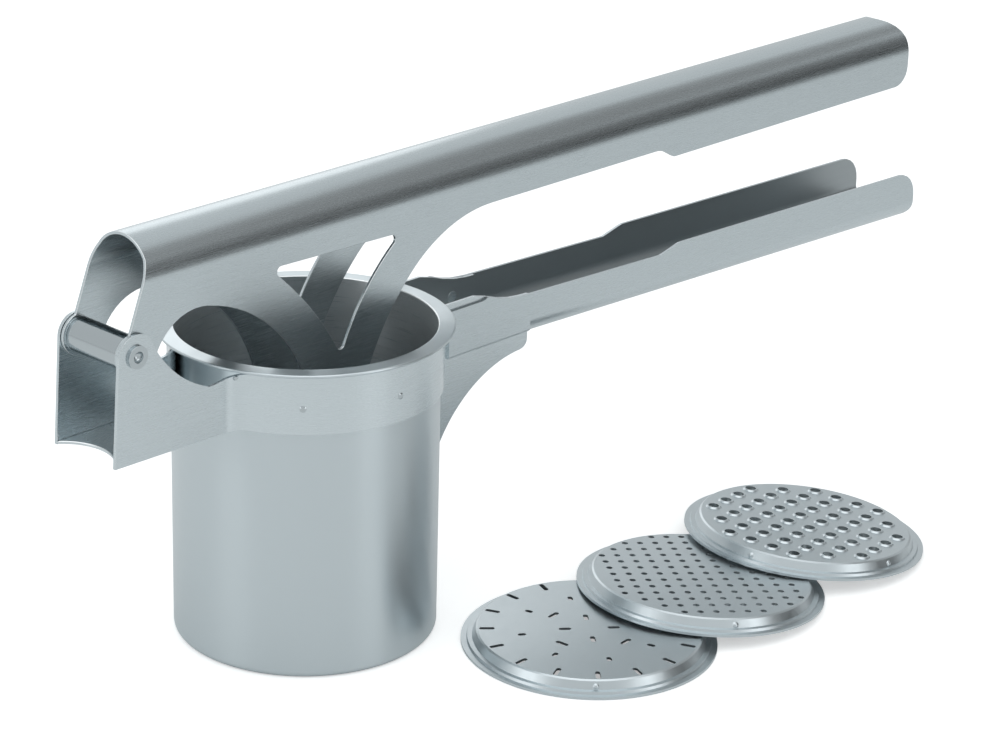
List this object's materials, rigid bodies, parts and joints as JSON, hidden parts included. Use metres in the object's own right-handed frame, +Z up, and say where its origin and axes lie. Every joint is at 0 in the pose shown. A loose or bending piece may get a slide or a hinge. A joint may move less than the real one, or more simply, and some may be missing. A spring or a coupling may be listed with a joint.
{
  "type": "spaetzle maker",
  "caption": "Sheet steel lever press over a deep round cup between two long handles, with loose perforated sieve inserts, for pressing soft dough into noodles.",
  "frame": {"origin": "on the cup's axis, at the level of its foot, which is the lowest face", "axes": "+Z up along the cup's axis, +X along the handles towards the grips, -Y towards the sieves"},
  "size_m": [0.3694, 0.1559, 0.141],
  "materials": {
    "cup": "polished inside, satin outside",
    "frame": "satin, brushed along its length",
    "lever": "satin, brushed along its length",
    "press": "satin",
    "rivets": "polished",
    "sieves": "satin"
  },
  "bodies": {
    "frame": {"cup": "cup", "frame_plate_near": "frame", "frame_plate_far": "frame", "ear_web": "frame", "handle_channel": "frame", "band_welds_near": "frame", "band_welds_far": "frame", "tail_welds_near": "frame", "tail_welds_far": "frame", "hinge_rivet": "rivets", "hinge_tube": "rivets"},
    "lever": {"lever_shell": "lever", "press_pin": "rivets"},
    "press": {"press_pin_tube": "rivets", "press_bracket": "press", "press_plate": "press", "bracket_welds": "press"},
    "sieve_slotted": {"sieve_slotted": "sieves"},
    "sieve_fine": {"sieve_fine": "sieves"},
    "sieve_coarse": {"sieve_coarse": "sieves"}
  },
  "joints": [
    {"name": "lever_hinge", "type": "hinge", "parent": "frame", "child": "lever", "pos_m": [-0.076, 0, 0.1098], "axis": [0, -1, 0], "range_deg": [0, 65]},
    {"name": "press_pivot", "type": "hinge", "parent": "lever", "child": "press", "pos_m": [0.004, 0, 0.05], "axis": [0, -1, 0], "range_deg": [-109, 0]},
    {"name": "slotted_lift", "type": "slide", "parent": "frame", "child": "sieve_slotted", "axis": [0, 0, 1], "range_m": [0, 0.06]},
    {"name": "fine_lift", "type": "slide", "parent": "sieve_slotted", "child": "sieve_fine", "axis": [0, 0, 1], "range_m": [0, 0.06]},
    {"name": "coarse_lift", "type": "slide", "parent": "sieve_fine", "child": "sieve_coarse", "axis": [0, 0, 1], "range_m": [0, 0.06]}
  ],
  "couplings": [
    {"joint": "press_pivot", "follows": "lever_hinge", "ratio": -1.66}
  ]
}
